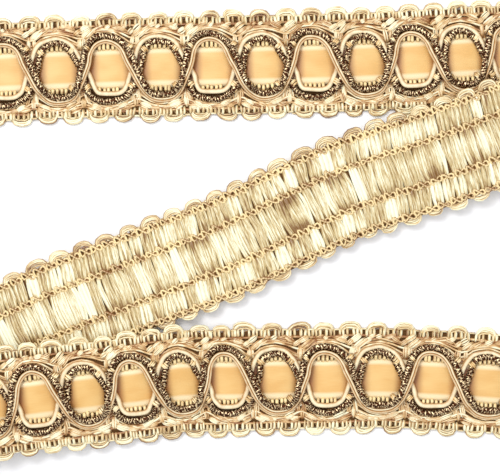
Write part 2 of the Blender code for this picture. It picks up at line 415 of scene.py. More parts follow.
# How uneven in tone the strands are, and the groups of a few strands that are alike
STRAND_UNEVEN = 0.13
ALIKE = 3
ALIKE_UNEVEN = 0.22
DEEPEST = 0.5
STREAK_DEPTH = 3.4
GOLDEN_TONES = (-0.1, 0.65)
DEEP_TONES = (0.5, 1.3)
UV_STEP = 17.3


def vary(spread, many):
    """A small random difference for each of many threads, as a column."""
    return chance.normal(0.0, spread, (many, 1))


def thread_paths(along, across, height):
    """Flat paths, an array of (thread, station, 3), from places that differ by thread or station."""
    return np.stack(np.broadcast_arrays(along, across, height), axis=2)


def tubes(paths, width, depth, sides, ring=False):
    """Closed tubes along flat paths, an array of (tube, station, 3): points, faces and corner UVs.
    The UVs are the length along the tube in mm and the share of a turn around it."""
    count, length = paths.shape[:2]
    if ring:
        heading = np.roll(paths, -1, axis=1) - np.roll(paths, 1, axis=1)
    else:
        heading = np.gradient(paths, axis=1)
    heading = heading / np.linalg.norm(heading, axis=2, keepdims=True)
    sideways = np.cross((0.0, 0.0, 1.0), heading)
    sideways = sideways / np.linalg.norm(sideways, axis=2, keepdims=True)
    rise = np.cross(heading, sideways)
    turn = 2 * np.pi * (np.arange(sides) + 0.5) / sides

    def half(size):
        """Half a size that is one for all, or differs by tube, station or side."""
        size = np.asarray(size, float) / 2
        return (size if size.ndim == 3 else size[..., None])[..., None]

    points = paths[:, :, None, :] + half(width) * np.cos(turn)[:, None] * sideways[:, :, None, :]
    points = points + half(depth) * np.sin(turn)[:, None] * rise[:, :, None, :]

    tube = (np.arange(count) * length * sides)[:, None, None]
    here = np.arange(length if ring else length - 1)[None, :, None]
    after = (here + 1) % length
    side = np.arange(sides)[None, None, :]
    beside = (side + 1) % sides
    corners = [tube + here * sides + side, tube + here * sides + beside,
               tube + after * sides + beside, tube + after * sides + side]
    quads = np.stack(corners, axis=-1).reshape(-1, 4)

    steps = np.linalg.norm(np.diff(paths, axis=1, append=paths[:, :1]), axis=2)
    run = np.concatenate([np.zeros((count, 1)), np.cumsum(steps, axis=1)], axis=1)
    run = run + UV_STEP * np.arange(count)[:, None]
    run_here, run_after = run[:, here[0, :, 0], None], run[:, here[0, :, 0] + 1, None]
    turn_here, turn_beside = side / sides, side / sides + 1 / sides

    def corner(run_there, turn_there):
        parts = [np.broadcast_to(part, (count, here.size, sides)) for part in (run_there, turn_there)]
        return np.stack(parts, axis=-1)

    uvs = np.stack([corner(run_here, turn_here), corner(run_here, turn_beside),
                    corner(run_after, turn_beside), corner(run_after, turn_here)], axis=-2)
    if ring:
        return points, [quads], [uvs]
    first = tube[:, 0] + np.arange(sides)[None, ::-1]
    last = tube[:, 0] + (length - 1) * sides + np.arange(sides)[None, :]
    caps = np.concatenate([first, last])
    return points, [quads, caps], [uvs, np.zeros((caps.size, 2))]


def add_threads(gather, paths, tone, width, depth, sides, ring=False):
    """Threads with a tone for each, or for each station of each."""
    points, faces, uvs = tubes(paths, width, depth, sides, ring)
    tones = np.broadcast_to(tone, paths.shape[:2])
    gather.add(points, faces, uvs, np.repeat(tones.ravel(), sides))


def add_floats(gather, centres, bundle, low, high, tone_middle, lean=0.0):
    """Bundles of flat strands from low to high across the strip, pinched where they are sewn down,
    each strand with its own tone and painted shade towards its ends, and some bundles with more painted
    shade at an end."""
    half_width, strands, end_shade, uneven = bundle
    many = len(centres) * strands
    share = np.linspace(0.0, 1.0, FLOAT_STATIONS)
    share = (share + (1 - np.cos(np.pi * share)) / 2) / 2
    arch = np.sin(np.pi * share)
    place = np.tile(np.linspace(-1.0, 1.0, strands), len(centres))[:, None]
    crown = 1 - place ** 2
    strand_width = 2 * half_width / strands

    across = low + (high - low) * share + vary(0.1, many)
    sway = vary(0.1, many) * np.sin(2 * np.pi * share)
    swell = 0.8 + 0.2 * arch ** 0.7
    middle = on_line("length", np.repeat(centres, strands)[:, None])
    along = middle + place * (half_width - strand_width / 2) * swell + sway
    along = along + vary(0.06, many) + lean * (0.5 - share) * (high - low)
    height = FLOAT_ROOT - FLOAT_LIFT * arch ** 0.5 * (0.6 + 0.4 * crown)
    height = np.maximum(height + vary(0.04, many) * arch, FLOAT_DEPTH / 2 - HALF_THICK)

    alike = np.repeat(chance.normal(0.0, ALIKE_UNEVEN, many // ALIKE + 1), ALIKE)[:many, None]
    # Painted shade deepens each strand towards its pinched ends, where it dives under the chain stitch.
    tone = tone_middle + alike + vary(STRAND_UNEVEN, many) + 0.4 * (1 - arch) ** 1.3
    tone = np.minimum(tone + np.repeat(vary(uneven, len(centres)), strands, axis=0), DEEPEST)
    # More painted shade right at the ends.
    tone = tone + 0.9 * (1 - arch) ** 6
    # Painted shadow at the ends of some bundles, deepest in their middle strands.
    low_end, high_end = np.repeat(chance.uniform(-0.3, 1.0, (2, len(centres), 1)), strands, axis=1)
    brown = np.maximum(low_end, 0) * (1 - share) ** 4 + np.maximum(high_end, 0) * share ** 4
    brown = end_shade * brown * chance.uniform(0.3, 1.2, (many, 1)) * np.minimum(1.6 * crown, 1.0)

    width = strand_width * STRAND_OVERLAP * (FLOAT_WAIST + (1 - FLOAT_WAIST) * arch ** 0.6)
    width = width * chance.uniform(0.8, 1.25, (many, 1))
    add_threads(gather, thread_paths(along, across, height), tone + brown, width, FLOAT_DEPTH, FLOAT_SIDES)


def thread_tone(place):
    """The tone that each point of a thread was given."""
    return place.node("Attribute", {"attribute_name": "tone"}, {}, "Fac")


def face_on(place):
    """1 on the top and the underside of a thread, and 0 at its two sides."""
    return (place.axis(1) * (2 * math.pi)).maths("SINE").maths("ABSOLUTE")


def floss_finish(name, pale, golden, deep, streaks, side_shade):
    """Shiny fine-filament floss: the tone runs from pale through golden to deep, streaks run along
    the thread, and painted shade darkens its two sides, where it turns away from the light."""
    material, shader, place = new_finish(name, {"Roughness": 0.32, "Specular IOR Level": 0.7})
    streak = place.stretch(0.3, streaks).noise(1.0, 3.0, 0.7)
    shade = thread_tone(place) + (streak - 0.5) * STREAK_DEPTH + (1 - face_on(place)) * side_shade
    warm = shade.between(*GOLDEN_TONES).blend(pale, golden)
    shade.between(*DEEP_TONES).blend(warm, deep).feed(shader, "Base Color")
    streak.emboss(shader, 0.6, 0.0001)
    return material


def windows_at(parts, offset=0.0, margin=0.25):
    """The windows, and equal parts of them, that are clear of the strip's cut ends."""
    first = math.ceil((FIRST_WINDOW + margin - offset) * parts)
    last = math.floor((LAST_WINDOW - margin - offset) * parts)
    return np.arange(first, last + 1) / parts + offset


back_floss = floss_finish("back_floss", pale=dye(250, 247, 216), golden=dye(208, 184, 128),
                          deep=dye(132, 93, 42), streaks=13.0, side_shade=0.4)
gathered = Gather()
for offset, bundle in MIDDLE_BUNDLES:
    add_floats(gathered, windows_at(1, offset, margin=0.3), bundle, -INNER_CHAIN, INNER_CHAIN, MIDDLE_TONE)
middle_floats = gathered.lay_out("middle_floats", back_floss)
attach(middle_floats, "root")

gathered = Gather()
for side, shift in SIDE_SHIFTS.items():
    low, high = sorted((side * INNER_CHAIN, side * OUTER_CHAIN))
    centres = windows_at(SIDE_BUNDLES_PER_WINDOW, shift, margin=0.15)
    add_floats(gathered, centres, SIDE_BUNDLE, low, high, SIDE_TONE, SIDE_LEAN)
side_floats = gathered.lay_out("side_floats", back_floss)
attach(side_floats, "root")


# Chain stitch: four rows of tan thread loops on the back, knitted through the floats to hold them
# to the ground. Each loop crosses over itself, so that two small eyes of ground show in it.
LINKS_PER_WINDOW = 4
LINK_SHIFT = 0.02
LINK_HALF_LONG = 1.42
EYE_HALF_WIDE = 0.78
EYE_DIFFERENCE = 0.16
LINK_LEAN = 0.12
CHAIN_THREAD = 0.66
CHAIN_HEIGHT = -0.42
CHAIN_CROSSING = 0.12
CHAIN_STATIONS = 14
CHAIN_START = 0.2
TWISTS_PER_MM = 1.6
THREAD_SIDES = 5

tan_thread, shader, place = new_finish("tan_thread", {"Roughness": 0.45, "Specular IOR Level": 0.6})
twist = ((place.axis(0) * TWISTS_PER_MM + place.axis(1)) * 2 * math.pi).maths("SINE")
# Painted shade darkens the thread's two sides, where it turns away from the light.
shade = thread_tone(place) + twist * 0.14 + (1 - face_on(place)) * 0.75
shade.between(-0.1, 1.1).blend(dye(252, 226, 168), dye(138, 86, 40)).feed(shader, "Base Color")
twist.emboss(shader, 0.5, 0.00006)

gathered = Gather()
turn = np.linspace(0.0, 2 * np.pi, CHAIN_STATIONS, endpoint=False) + CHAIN_START
centres = windows_at(LINKS_PER_WINDOW, LINK_SHIFT)[:, None]
many = len(centres)
for row in (-OUTER_CHAIN, -INNER_CHAIN, INNER_CHAIN, OUTER_CHAIN):
    reach = LINK_HALF_LONG * np.cos(turn) * (1 + vary(0.08, many))
    eyes = (EYE_HALF_WIDE + EYE_DIFFERENCE * np.cos(turn)) * (1 + vary(0.15, many))
    along = on_line("length", centres) + reach + vary(0.1, many)
    across = row + eyes * np.sin(2 * turn) + (LINK_LEAN + vary(0.1, many)) * reach
    across = across + vary(0.09, many)
    height = CHAIN_HEIGHT - CHAIN_CROSSING * np.sin(turn)
    # Painted shade where each loop crosses over itself.
    tone = chance.normal(-0.06, 0.14, (many, 1)) + 0.4 * (1 - np.abs(np.cos(turn)))
    paths = thread_paths(along, across, height)
    add_threads(gathered, paths, tone, CHAIN_THREAD, CHAIN_THREAD, THREAD_SIDES, ring=True)
back_chain = gathered.lay_out("back_chain_stitch", tan_thread)
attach(back_chain, "root")


# Picots: small shells of rayon floss along both edges, two to a window, made by the crochet machine.
# Each stands on a ladder of upright bars of the same floss, with a hole under it and one beside it.
PICOTS_PER_WINDOW = 2
EDGE_COLUMNS = ("window", "upper_shift", "upper_row", "lower_shift", "lower_row")
EDGE_TABLE = (
    # shifts along the strip in windows, rows of holes in mm from the middle
    (0.0, -0.02, 11.4, -0.22, 11.25),
    (9.0, -0.04, 11.6, -0.24, 11.25),
    (20.0, -0.13, 11.7, -0.26, 11.2),
    (26.0, -0.2, 11.9, -0.2, 11.4),
    (36.0, -0.03, 11.9, -0.32, 11.9),
    (39.0, -0.07, 11.8, -0.27, 11.8),
    (43.0, -0.08, 11.5, -0.17, 11.6),
)
SHELL_HALF = (
    # half a shell from its foot to its tip: shares of its half width and of its height
    (1.0, -0.1),
    (0.97, 0.38),
    (0.76, 0.76),
    (0.4, 0.96),
    (0.0, 1.0),
)
SHELL_STRANDS = (
    # half width, reach of the tip outward, height, tone
    (2.35, 2.2, -0.1, 0.25),
    (2.2, 1.82, 0.05, -0.15),
    (2.0, 1.42, -0.05, 0.2),
    (1.7, 0.9, 0.0, 0.4),
)
SHELL_THREAD = 0.6
BAR_PLACES = (-2.58, -1.75, -0.75, 0.75, 1.75, 2.58)
BAR_INNER = -1.2
BAR_OUTER = 0.65
BAR_THREAD = 0.85
BAR_STATIONS = 4
BEAD_LONG = 1.3
BEAD_HEIGHT = 0.3
BEAD_THREAD = 0.5

picot_floss = floss_finish("picot_floss", pale=dye(250, 244, 208), golden=dye(222, 191, 134),
                           deep=dye(130, 87, 49), streaks=5.0, side_shade=0.85)
shell = np.array(SHELL_HALF + tuple((-share, rise) for share, rise in SHELL_HALF[-2::-1]))
gathered = Gather()
share = np.linspace(0.0, 1.0, BAR_STATIONS)
for side, edge in ((1, "upper"), (-1, "lower")):
    centres = windows_at(PICOTS_PER_WINDOW, margin=0.4)
    windows = column(EDGE_TABLE, EDGE_COLUMNS, "window")
    centres = centres + np.interp(centres, windows, column(EDGE_TABLE, EDGE_COLUMNS, edge + "_shift"))
    row = np.interp(centres, windows, column(EDGE_TABLE, EDGE_COLUMNS, edge + "_row"))
    many = len(centres)
    row = row[:, None] + vary(0.08, many)
    middle = on_line("length", centres)[:, None] + vary(0.1, many)
    lean = vary(0.15, many)
    gloss = vary(0.15, many)
    size = 1 + vary(0.06, many)
    for half_width, tip, rise, tone_middle in SHELL_STRANDS:
        wide = half_width * (size + vary(0.02, many))
        tall = tip * (size + vary(0.03, many))
        along = middle + wide * shell[:, 0] + lean * tall * shell[:, 1]
        out = row + tall * shell[:, 1] + chance.normal(0.0, 0.05, (many, len(shell)))
        height = rise + 0.1 * shell[:, 1] + vary(0.06, many)
        tone = tone_middle + gloss + vary(0.2, many) + 0.25 * np.abs(shell[:, 0]) ** 3
        paths = thread_paths(along, side * out, height)
        add_threads(gathered, paths, tone, SHELL_THREAD, SHELL_THREAD, THREAD_SIDES)
    for bar in BAR_PLACES:
        along = middle + bar + vary(0.12, many) * (share - 0.5) + vary(0.06, many)
        out = row + (BAR_INNER + (BAR_OUTER - BAR_INNER) * share + vary(0.1, many))
        height = 0.1 + 0.35 * np.sin(np.pi * share) ** 0.5
        tone = chance.normal(0.05, 0.22, (many, 1)) + 0.35 * (1 - share)
        width = BAR_THREAD * chance.uniform(0.85, 1.1, (many, 1))
        paths = thread_paths(along, side * out, height)
        add_threads(gathered, paths, tone, width, width * 0.8, THREAD_SIDES)
    along = (middle[:-1] + middle[1:]) / 2 + BEAD_LONG * (share - 0.5)
    out = (row[:-1] + row[1:]) / 2 + BAR_OUTER + vary(0.06, many - 1)
    tone = chance.normal(0.2, 0.15, (many - 1, 1))
    paths = thread_paths(along, side * out, BEAD_HEIGHT)
    add_threads(gathered, paths, tone, BEAD_THREAD, BEAD_THREAD, THREAD_SIDES)
picots = gathered.lay_out("picot_loops", picot_floss)
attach(picots, "root")


# Floss borders: flat rayon floss that fills both sides of the front. Thick strands follow the arcs
# of the cords, and short shiny bundles lie askew over each other in the notches between windows.
LEAVES = {
    # windows from the notch and mm from the middle, for the start and the end; half width, height, tone
    1: (
        (-0.05, 4.9, -0.04, 8.3, 0.42, 0.7, 0.1),
        (0.05, 5.0, 0.07, 8.3, 0.4, 0.65, 0.2),
        (-0.46, 10.2, -0.2, 10.8, 0.4, 0.65, 0.4),
        (-0.36, 10.6, -0.12, 9.2, 0.42, 0.75, 0.3),
        (-0.3, 9.7, -0.12, 10.8, 0.35, 0.65, 0.25),
        (0.26, 10.2, 0.42, 10.9, 0.35, 0.6, 0.4),
        (0.12, 8.4, 0.36, 10.2, 0.4, 0.7, 0.3),
        (0.42, 9.8, 0.54, 10.8, 0.35, 0.7, 0.0),
        (0.04, 7.3, 0.29, 10.2, 0.38, 0.85, 0.15),
        (-0.02, 7.6, 0.21, 10.0, 0.48, 0.95, 0.0),
        (-0.15, 8.3, 0.01, 9.8, 0.45, 0.85, 0.05),
        (-0.06, 9.1, 0.15, 11.0, 0.52, 1.0, -0.15),
    ),
    -1: (
        (-0.06, 5.3, -0.09, 9.0, 0.42, 0.7, 0.25),
        (0.06, 5.3, 0.1, 9.0, 0.42, 0.7, 0.3),
        (0.0, 6.9, 0.01, 10.0, 0.4, 0.75, 0.25),
        (-0.48, 10.2, -0.22, 9.8, 0.38, 0.65, 0.35),
        (0.24, 9.8, 0.5, 10.4, 0.38, 0.65, 0.35),
        (-0.26, 10.4, -0.04, 9.5, 0.42, 0.75, 0.3),
        (0.36, 9.6, 0.54, 10.3, 0.32, 0.65, 0.15),
        (-0.3, 9.3, -0.08, 10.3, 0.35, 0.65, 0.4),
        (0.12, 10.4, 0.34, 9.2, 0.38, 0.7, 0.1),
        (0.1, 8.7, 0.36, 10.2, 0.46, 0.9, -0.1),
        (0.05, 9.3, 0.26, 10.6, 0.42, 0.8, 0.1),
        (-0.38, 10.0, -0.1, 8.4, 0.5, 0.95, -0.1),
    ),
}
LEAF_STRANDS = 4
LEAF_THREAD = 0.46
LEAF_STATIONS = 5
LEAF_FOOT = 0.3
# The deep tones of the strands in the wedge under the arcs and of the outer strands under the leaves are
# painted shade.
ARC_STRANDS = (
    # mm outward from the border's line, height, tone, thread
    (-1.2, 0.1, 0.85, 1.3),
    (-0.5, 0.15, 0.65, 1.0),
    (0.0, 0.45, 0.4, 0.6),
    (0.5, 0.5, 0.2, 0.6),
    (0.78, 0.25, 0.7, 0.6),
    (1.05, 0.35, 0.75, 0.6),
    (1.6, 0.25, 0.9, 0.7),
)
BORDER_ROWS = 10
BORDER_LINES = {
    # windows from an even window and mm from the middle, just outside the two cords' arcs
    1: (
        (-0.5, 6.2), (-0.4, 7.2), (-0.33, 8.1), (-0.2, 8.95), (-0.04, 9.2), (0.12, 8.85),
        (0.27, 7.75), (0.38, 6.6), (0.47, 6.0), (0.55, 6.0), (0.62, 6.7), (0.70, 7.7),
        (0.84, 8.35), (1.0, 8.55), (1.17, 8.0), (1.30, 7.1), (1.4, 6.4), (1.5, 6.2),
    ),
    -1: (
        (-0.5, 6.5), (-0.43, 7.0), (-0.34, 8.1), (-0.22, 9.05), (-0.05, 9.45), (0.13, 9.25),
        (0.29, 8.5), (0.42, 7.4), (0.5, 6.6), (0.58, 6.5), (0.66, 7.1), (0.71, 7.7),
        (0.84, 8.85), (1.0, 9.25), (1.2, 8.9), (1.32, 8.1), (1.40, 7.2), (1.5, 6.5),
    ),
}
# The further out a strand lies, the more its line straightens towards this level
BORDER_LEVEL = {1: 8.9, -1: 9.2}
BORDER_STRAIGHTENS = 0.65
BORDER_DEEP = 0.5
# How many rows lie from one random shift of an arc's strand to the next, outward and up
WANDER_ROWS = 7
LIFT_ROWS = 4


def on_strip(window):
    """The length along the strip at a window, no further than its cut ends."""
    return on_line("length", np.clip(window, FIRST_WINDOW, LAST_WINDOW))


def drift(rows, every, spread):
    """A random difference for each row, which is drawn at every few rows and even between them."""
    drawn = rows[::every]
    return np.interp(rows, drawn, chance.normal(0.0, spread, len(drawn)))


border_floss = floss_finish("border_floss", pale=dye(250, 243, 208), golden=dye(228, 188, 128),
                            deep=dye(148, 92, 42), streaks=6.0, side_shade=0.6)
rows = rows_along(BORDER_ROWS)
centres = windows_at(1, 0.5, margin=0.3)[:, None]
many = len(centres)
ease = np.linspace(0.0, 1.0, LEAF_STATIONS)
swell = np.sin(np.pi * ease) ** 0.6
for side, name in ((1, "upper_floss_border"), (-1, "lower_floss_border")):
    gathered = Gather()
    line = np.array(BORDER_LINES[side])
    edge = np.interp((rows + 0.5) % 2 - 0.5, line[:, 0], line[:, 1])
    for outward, rise, tone_middle, thread in ARC_STRANDS:
        straighten = BORDER_STRAIGHTENS * max(outward, 0) * (BORDER_LEVEL[side] - edge)
        wander = drift(rows, WANDER_ROWS, 0.1)
        height = rise + drift(rows, LIFT_ROWS, 0.08)
        tone = tone_middle + chance.normal(0.0, 0.3, len(rows))
        out = edge + outward + wander + straighten
        paths = thread_paths(on_line("length", rows)[None], side * out, height)
        add_threads(gathered, paths, tone, thread, BORDER_DEEP, THREAD_SIDES)
    for start_windows, start_across, end_windows, end_across, spread, lift, tone_middle in LEAVES[side]:
        nudge = chance.normal(0.0, 0.25, (many, 4))
        gloss = tone_middle + vary(0.18, many)
        start_along = on_strip(centres + start_windows) + nudge[:, :1]
        start_out = start_across + 0.7 * nudge[:, 2:3]
        run_along = on_strip(centres + end_windows) + nudge[:, 1:2] - start_along
        run_out = end_across + 0.5 * nudge[:, 3:4] - start_out
        length = np.hypot(run_along, run_out)
        for aside_share in np.linspace(-1.0, 1.0, LEAF_STRANDS):
            aside = aside_share * spread * (0.35 + 0.65 * swell) + vary(0.08, many)
            along = start_along + run_along * ease - aside * run_out / length
            out = start_out + run_out * ease + aside * run_along / length
            height = LEAF_FOOT + (lift - LEAF_FOOT) * swell - 0.1 * abs(aside_share) + vary(0.06, many)
            tone = gloss + vary(0.22, many) + 0.5 * (1 - swell)
            width = LEAF_THREAD * (0.5 + 0.5 * swell)
            paths = thread_paths(along, side * out, height)
            add_threads(gathered, paths, tone, width, width * 0.7, THREAD_SIDES)
    border = gathered.lay_out(name, border_floss)
    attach(border, "root")


# Ribbon: a light gold satin ribbon threaded down the middle of the ground, under the cords. It
# swells a little in each window, and its selvedges turn down under the stitches. Painted highlight
# makes the selvedges pale where they curve down, and painted shade darkens each window's two sides,
# more at the left, where the cords cast their shadow.
RIBBON_FLAT = 10.0
RIBBON_HALF = RIBBON_FLAT / 2
RIBBON_THICK = 0.15
RIBBON_LOW = 0.45
RIBBON_CROWN = 0.5
RIBBON_SELVEDGE = 3.7
RIBBON_DROP = 0.6
RIBBON_MIDDLE = -0.15
RIBBON_COLUMNS = 13

satin, shader, place = new_finish("gold_satin", {"Roughness": 0.42, "Specular IOR Level": 0.45})
patch = place.stretch(1.7, 0.25).noise(1.0, 1.0)
streak = place.stretch(4.0, 9.0).noise(1.0, 3.0)
gold = (streak * 0.4 + patch * 0.6).between(0.3, 0.7).blend(dye(222, 172, 98), dye(232, 190, 120))
# Painted shade at each window's left and right sides, centred a little right of the window's middle so
# that the left side, in the cords' cast shadow, is the darker.
from_centre = ((place.axis(0) + 0.45).maths("FRACT") - 0.5).maths("ABSOLUTE")
shaded = from_centre.between(0.19, 0.41).blend(gold, dye(144, 82, 28))
# Painted highlight makes the selvedges pale where they curve down.
edge_highlight = place.axis(1).maths("ABSOLUTE").between(RIBBON_SELVEDGE - 0.7, RIBBON_SELVEDGE + 0.3)
edge_highlight.blend(shaded, dye(246, 224, 180)).feed(shader, "Base Color")
streak.emboss(shader, 0.15, 0.00005)

ribbon_sides = np.linspace(-RIBBON_HALF, RIBBON_HALF, RIBBON_COLUMNS)
swell = (1 + np.cos(2 * np.pi * strip_rows)) / 2
drop = RIBBON_DROP * smooth_step(np.abs(ribbon_sides), RIBBON_SELVEDGE, RIBBON_HALF + 0.2)
ribbon_height = RIBBON_LOW + RIBBON_CROWN * swell[:, None] ** 0.6 - drop[None, :]
gathered = Gather()
gathered.add(*cloth(strip_rows, ribbon_sides + RIBBON_MIDDLE, ribbon_height, RIBBON_THICK), PLAIN_TONE)
ribbon = gathered.lay_out("satin_ribbon_band", satin)
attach(ribbon, "root")
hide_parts("satin_ribbon")


# Ribbon stitches: short upright loops of pale thread, five at each side of a window, that hold the
# ribbon's edges to the ground.
STITCHES = 5
STITCH_PITCH = 1.1
STITCH_INNER = {1: 4.7, -1: 5.0}
STITCH_OUTER = {1: 6.3, -1: 6.1}
STITCH_FOOT = 0.5
STITCH_ARCH = 0.5
STITCH_STATIONS = 5
STITCH_SIDES = 6
STITCH_WIDE = 0.92
STITCH_DEEP = 0.8 * STITCH_WIDE

gathered = Gather()
share = np.linspace(0.0, 1.0, STITCH_STATIONS)
centres = windows_at(1, margin=0.3)[:, None]
many = len(centres)
for side in (-1, 1):
    for stitch in range(STITCHES):
        along = on_line("length", centres) + (stitch - (STITCHES - 1) / 2) * STITCH_PITCH
        along = along + vary(0.08, many)
        across = side * (STITCH_INNER[side] + (STITCH_OUTER[side] - STITCH_INNER[side]) * share)
        across = across + vary(0.12, many)
        height = STITCH_FOOT + STITCH_ARCH * np.sin(np.pi * share) ** 0.6
        tone = chance.uniform(-0.45, 0.05, (many, 1)) + 0.4 * share
        paths = thread_paths(along, across, height)
        add_threads(gathered, paths, tone, STITCH_WIDE, STITCH_DEEP, STITCH_SIDES)
teeth = gathered.lay_out("ribbon_stitches", tan_thread)
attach(teeth, "root")


# Under cords: one of the two pairs of couched gimp that swing from side to side, a bronze metallic
# cord with a smooth pale one. The metallic cord is a crinkled bronze and gold film round a core.
REPEAT = 2
ARC_HEIGHT = 0.9
# The rise of a cord over the ribbon and over the other pair, each full up to one distance from the
# middle and gone at another
RIBBON_RISE = 0.6
RIBBON_RISE_FULL = 5.6
RIBBON_RISE_END = 8.0
CROSS_MIDDLE = -0.5
CROSS_FULL = 3.8
CROSS_END = 6.0
CURVE_STEPS = 10
METALLIC_WIDE = 1.65
METALLIC_DEEP = 1.3
METALLIC_STEP = 0.25
METALLIC_SIDES = 10
METALLIC_WANDER = 0.12
WRAP_PITCH = 0.9
WRAP_RIDGE = 0.09
CRINKLE = 0.055
FLAT_WIDE = 1.25
FLAT_DEEP = 0.85
FLAT_STEP = 0.45
FLAT_SIDES = 8
FLAT_WANDER = 0.08
FLAT_TONE = 0.1
METALLIC_UNDER_FIGURE = (
    # windows along the strip, mm across it
    (-1.0, 6.5), (-0.85, 5.9), (-0.74, 4.6), (-0.66, 2.9), (-0.58, 0.9), (-0.50, -1.9),
    (-0.43, -4.9), (-0.34, -6.9), (-0.22, -8.0), (-0.05, -8.4), (0.13, -8.2), (0.29, -7.3),
    (0.42, -6.0), (0.51, -3.8), (0.605, -1.1), (0.66, 1.9), (0.71, 4.3), (0.82, 6.0),
)
FLAT_UNDER_FIGURE = (
    (-1.0, 7.7), (-0.83, 7.1), (-0.70, 5.9), (-0.60, 3.9), (-0.52, 1.7), (-0.42, -0.3),
    (-0.35, -2.2), (-0.30, -4.4), (-0.24, -5.8), (-0.14, -6.35), (0.12, -6.4), (0.24, -5.9),
    (0.32, -4.7), (0.41, -1.9), (0.48, 0.9), (0.54, 3.4), (0.60, 5.3), (0.70, 6.7), (0.84, 7.5),
)


def cord_line(figure, step, rise, wander):
    """An even smooth line through the figure's points, repeated along the strip, as one flat path."""
    repeats = np.arange(math.floor(FIRST_WINDOW / REPEAT) - 1, math.ceil(LAST_WINDOW / REPEAT) + 2)
    knots = np.concatenate([np.array(figure) + (repeat * REPEAT, 0.0) for repeat in repeats])
    knots = knots[(knots[:, 0] > LINE["window"][0]) & (knots[:, 0] < LINE["window"][-1])]
    knots = np.stack([on_line("length", knots[:, 0]), knots[:, 1]], axis=1)
    knots = knots + chance.normal(0.0, wander, knots.shape)
    before, start, end, after = (knots[first:len(knots) - 3 + first, None] for first in range(4))
    share = (np.arange(CURVE_STEPS) / CURVE_STEPS)[None, :, None]
    curve = (2 * start + (end - before) * share + (2 * before - 5 * start + 4 * end - after) * share ** 2
             + (3 * start - before - 3 * end + after) * share ** 3) / 2
    curve = curve.reshape(-1, 2)
    first_length, last_length = on_line("length", (FIRST_WINDOW, LAST_WINDOW))
    curve = curve[(curve[:, 0] > first_length) & (curve[:, 0] < last_length)]
    run = np.concatenate([[0.0], np.cumsum(np.linalg.norm(np.diff(curve, axis=0), axis=1))])
    even = np.linspace(0.0, run[-1], round(run[-1] / step))
    along, across = (np.interp(even, run, curve[:, part]) for part in (0, 1))
    over_ribbon = smooth_step(-np.abs(across), -RIBBON_RISE_END, -RIBBON_RISE_FULL)
    over_cords = smooth_step(-np.abs(across - CROSS_MIDDLE), -CROSS_END, -CROSS_FULL)
    height = ARC_HEIGHT + RIBBON_RISE * over_ribbon + rise * over_cords
    return thread_paths(along[None], across, height)


def add_metallic(gather, path):
    """A crinkled cord: ridges wind round it, and its film buckles from point to point."""
    stations = path.shape[1]
    turns = (np.arange(stations) * METALLIC_STEP / WRAP_PITCH)[:, None]
    around = np.arange(METALLIC_SIDES)[None, :] / METALLIC_SIDES
    ridge = WRAP_RIDGE * np.cos(2 * np.pi * (turns - around))
    crinkle = chance.normal(0.0, CRINKLE, (stations, METALLIC_SIDES))
    swell = (1 + ridge + crinkle)[None]
    add_threads(gather, path, PLAIN_TONE, METALLIC_WIDE * swell, METALLIC_DEEP * swell, METALLIC_SIDES)


metallic, shader, place = new_finish("bronze_film", {"Metallic": 0.85, "Roughness": 0.4})
film_x = place.axis(0) * 1.1 + place.axis(1) * 4.5
film_y = place.axis(0) * 2.8 - place.axis(1) * 3.5
# The pale specks are partly the film's own gold and partly painted glints.
film_and_glint_specks = place.node("CombineXYZ", {}, {"X": film_x, "Y": film_y}).noise(1.1, 2.0, 0.6)
film_and_glint_specks.between(0.53, 0.58).blend(dye(68, 32, 8), dye(255, 228, 180)).feed(shader, "Base Color")
film_and_glint_specks.emboss(shader, 0.9, 0.00015)

pale_gimp, shader, place = new_finish("pale_gimp", {"Roughness": 0.34, "Specular IOR Level": 0.6})
wrap = (place.axis(0) * 30).maths("SINE")
patch = (place.noise(0.6, 2.0) + wrap * 0.05).between(0.3, 0.75)
# Painted shade darkens each cord's and ply's two sides, where they turn away from the light.
shade = patch * 0.3 + (1 - face_on(place)) * 0.85 + thread_tone(place) * 0.5
shade.blend(dye(255, 241, 202), dye(184, 130, 64)).feed(shader, "Base Color")
wrap.emboss(shader, 0.35, 0.00004)

gathered = Gather()
add_metallic(gathered, cord_line(METALLIC_UNDER_FIGURE, METALLIC_STEP, 0.0, METALLIC_WANDER))
metallic_under = gathered.lay_out("metallic_gimp_under", metallic)
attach(metallic_under, "root")
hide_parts("metallic_cord_under")

gathered = Gather()
line = cord_line(FLAT_UNDER_FIGURE, FLAT_STEP, 0.0, FLAT_WANDER)
add_threads(gathered, line, FLAT_TONE, FLAT_WIDE, FLAT_DEEP, FLAT_SIDES)
flat_under = gathered.lay_out("flat_gimp_under", pale_gimp)
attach(flat_under, "root")
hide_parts("flat_cord_under")


# Over cords: the other pair, which swings the opposite way and crosses the first between windows.
# Its pale cord is two thin plies side by side, and lies on top of everything.
OVER_METALLIC_RISE = 1.25
OVER_DOUBLE_RISE = 1.15
PLY_THREAD = 0.6
PLY_APART = 0.6
PLY_STEP = 0.5
PLY_SIDES = 7
PLY_WANDER = 0.05
